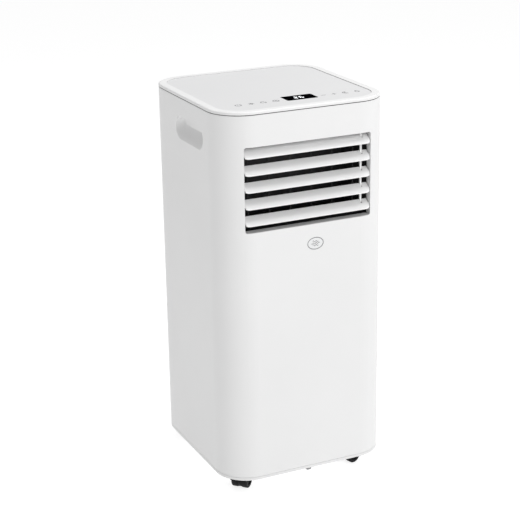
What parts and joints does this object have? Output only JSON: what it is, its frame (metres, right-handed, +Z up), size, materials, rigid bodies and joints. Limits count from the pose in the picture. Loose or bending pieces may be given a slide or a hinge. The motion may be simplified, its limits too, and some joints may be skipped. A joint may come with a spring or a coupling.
{
  "type": "portable air conditioner",
  "caption": "Upright single-hose portable air conditioner on casters, with a louvred front air outlet, a touch panel on top and a rear exhaust collar.",
  "frame": {"origin": "on the floor under the middle of the cabinet", "axes": "+Z up, -Y out of the front face with the air outlet, +Y out of the rear, +X to the right when looking along +Y at the front"},
  "size_m": [0.32, 0.326, 0.696],
  "materials": {
    "shell_white": "satin moulded plastic",
    "panel_white": "fine satin over a smooth plate",
    "window_black": "gloss",
    "louvre_white": "satin moulded plastic",
    "base_white": "satin moulded plastic",
    "badge_silver": "satin plated",
    "duct_black": "matt",
    "caster_black": "satin nylon",
    "wheel_black": "matt",
    "foot_grey": "matt",
    "steel": "zinc plated",
    "fin_aluminium": "mill finish",
    "copper": "copper tube",
    "compressor_black": "semi-gloss paint",
    "motor_metal": "zinc plated",
    "fan_plastic": "matt",
    "scroll_plastic": "matt",
    "tray_plastic": "matt",
    "rubber_black": "matt",
    "board_green": "solder mask",
    "capacitor_metal": "drawn can",
    "mesh_grey": "woven nylon"
  },
  "bodies": {
    "cabinet": {"front_panel": "shell_white", "rear_cover": "shell_white", "top_cover": "shell_white", "touch_panel": "panel_white", "top_seal": "rubber_black", "display_window": "window_black", "display_board": "board_green", "badge": "badge_silver", "shell_screws": "steel", "base_pan": "base_white", "caster_stems": "steel", "front_foot": "foot_grey", "outlet_duct": "duct_black", "outlet_guard": "duct_black", "exhaust_collar": "shell_white", "exhaust_duct": "duct_black", "cord_gland": "rubber_black", "upper_scroll": "scroll_plastic", "lower_scroll": "scroll_plastic", "upper_motor": "motor_metal", "lower_motor": "motor_metal", "drain_tray": "tray_plastic", "evaporator_fins": "fin_aluminium", "condenser_fins": "fin_aluminium", "evaporator_tubes": "copper", "condenser_tubes": "copper", "compressor": "compressor_black", "compressor_grommets": "rubber_black", "accumulator": "compressor_black", "suction_pipe": "copper", "discharge_pipe": "copper", "filter_drier": "copper", "capillary_tube": "copper", "control_box": "tray_plastic", "control_board": "board_green", "run_capacitor": "capacitor_metal", "float_switch": "tray_plastic"},
    "louvre_1": {"louvre_1": "louvre_white"},
    "louvre_2": {"louvre_2": "louvre_white"},
    "louvre_3": {"louvre_3": "louvre_white"},
    "louvre_4": {"louvre_4": "louvre_white"},
    "louvre_5": {"louvre_5": "louvre_white"},
    "louvre_link": {"louvre_link": "louvre_white"},
    "upper_fan": {"upper_wheel": "fan_plastic", "upper_shaft": "steel"},
    "lower_fan": {"lower_wheel": "fan_plastic", "lower_shaft": "steel"},
    "upper_filter": {"upper_filter_frame": "shell_white", "upper_filter_mesh": "mesh_grey"},
    "lower_filter": {"lower_filter_frame": "shell_white"},
    "upper_drain": {"upper_drain_cap": "rubber_black"},
    "lower_drain": {"lower_drain_plug": "rubber_black"},
    "caster_fl_swivel": {"caster_fl_hood": "caster_black"},
    "caster_fl_roller": {"caster_fl_wheels": "wheel_black"},
    "caster_fr_swivel": {"caster_fr_hood": "caster_black"},
    "caster_fr_roller": {"caster_fr_wheels": "wheel_black"},
    "caster_rl_swivel": {"caster_rl_hood": "caster_black"},
    "caster_rl_roller": {"caster_rl_wheels": "wheel_black"},
    "caster_rr_swivel": {"caster_rr_hood": "caster_black"},
    "caster_rr_roller": {"caster_rr_wheels": "wheel_black"}
  },
  "joints": [
    {"name": "louvre_1_tilt", "type": "hinge", "parent": "cabinet", "child": "louvre_1", "pos_m": [0, -0.1542, 0.6234], "axis": [1, 0, 0], "range_deg": [-50, 30]},
    {"name": "louvre_2_tilt", "type": "hinge", "parent": "cabinet", "child": "louvre_2", "pos_m": [0, -0.1542, 0.59415], "axis": [1, 0, 0], "range_deg": [-50, 30]},
    {"name": "louvre_3_tilt", "type": "hinge", "parent": "cabinet", "child": "louvre_3", "pos_m": [0, -0.1542, 0.5649], "axis": [1, 0, 0], "range_deg": [-50, 30]},
    {"name": "louvre_4_tilt", "type": "hinge", "parent": "cabinet", "child": "louvre_4", "pos_m": [0, -0.1542, 0.53565], "axis": [1, 0, 0], "range_deg": [-50, 30]},
    {"name": "louvre_5_tilt", "type": "hinge", "parent": "cabinet", "child": "louvre_5", "pos_m": [0, -0.1542, 0.5064], "axis": [1, 0, 0], "range_deg": [-50, 30]},
    {"name": "louvre_link_pivot", "type": "hinge", "parent": "louvre_3", "child": "louvre_link", "pos_m": [0.106, -0.148, 0.56975], "axis": [1, 0, 0], "range_deg": [-30, 50]},
    {"name": "upper_fan_spin", "type": "hinge", "parent": "cabinet", "child": "upper_fan", "pos_m": [0.01, 0.06, 0.502], "axis": [0, 1, 0], "continuous": true},
    {"name": "lower_fan_spin", "type": "hinge", "parent": "cabinet", "child": "lower_fan", "pos_m": [0.048, 0.06, 0.15], "axis": [0, 1, 0], "continuous": true},
    {"name": "upper_filter_pull", "type": "slide", "parent": "cabinet", "child": "upper_filter", "axis": [0, 1, 0], "range_m": [0, 0.05]},
    {"name": "lower_filter_pull", "type": "slide", "parent": "cabinet", "child": "lower_filter", "axis": [0, 1, 0], "range_m": [0, 0.05]},
    {"name": "upper_drain_pull", "type": "slide", "parent": "cabinet", "child": "upper_drain", "axis": [0, 1, 0], "range_m": [0, 0.025]},
    {"name": "lower_drain_pull", "type": "slide", "parent": "cabinet", "child": "lower_drain", "axis": [0, 1, 0], "range_m": [0, 0.025]},
    {"name": "caster_fl_swivel_turn", "type": "hinge", "parent": "cabinet", "child": "caster_fl_swivel", "pos_m": [-0.112, -0.118, 0.034], "axis": [0, 0, 1], "continuous": true},
    {"name": "caster_fl_roll", "type": "hinge", "parent": "caster_fl_swivel", "child": "caster_fl_roller", "pos_m": [-0.12078, -0.12618, 0.015], "axis": [0.682, -0.7314, 0], "continuous": true},
    {"name": "caster_fr_swivel_turn", "type": "hinge", "parent": "cabinet", "child": "caster_fr_swivel", "pos_m": [0.112, -0.118, 0.034], "axis": [0, 0, 1], "continuous": true},
    {"name": "caster_fr_roll", "type": "hinge", "parent": "caster_fr_swivel", "child": "caster_fr_roller", "pos_m": [0.10052, -0.12151, 0.015], "axis": [0.2924, -0.9563, 0], "continuous": true},
    {"name": "caster_rl_swivel_turn", "type": "hinge", "parent": "cabinet", "child": "caster_rl_swivel", "pos_m": [-0.112, 0.118, 0.034], "axis": [0, 0, 1], "continuous": true},
    {"name": "caster_rl_roll", "type": "hinge", "parent": "caster_rl_swivel", "child": "caster_rl_roller", "pos_m": [-0.118, 0.10761, 0.015], "axis": [0.866, -0.5, 0], "continuous": true},
    {"name": "caster_rr_swivel_turn", "type": "hinge", "parent": "cabinet", "child": "caster_rr_swivel", "pos_m": [0.112, 0.118, 0.034], "axis": [0, 0, 1], "continuous": true},
    {"name": "caster_rr_roll", "type": "hinge", "parent": "caster_rr_swivel", "child": "caster_rr_roller", "pos_m": [0.1161, 0.10672, 0.015], "axis": [0.9397, 0.342, 0], "continuous": true}
  ],
  "couplings": [
    {"joint": "louvre_2_tilt", "follows": "louvre_1_tilt", "ratio": 1},
    {"joint": "louvre_3_tilt", "follows": "louvre_1_tilt", "ratio": 1},
    {"joint": "louvre_4_tilt", "follows": "louvre_1_tilt", "ratio": 1},
    {"joint": "louvre_5_tilt", "follows": "louvre_1_tilt", "ratio": 1},
    {"joint": "louvre_link_pivot", "follows": "louvre_1_tilt", "ratio": -1}
  ]
}
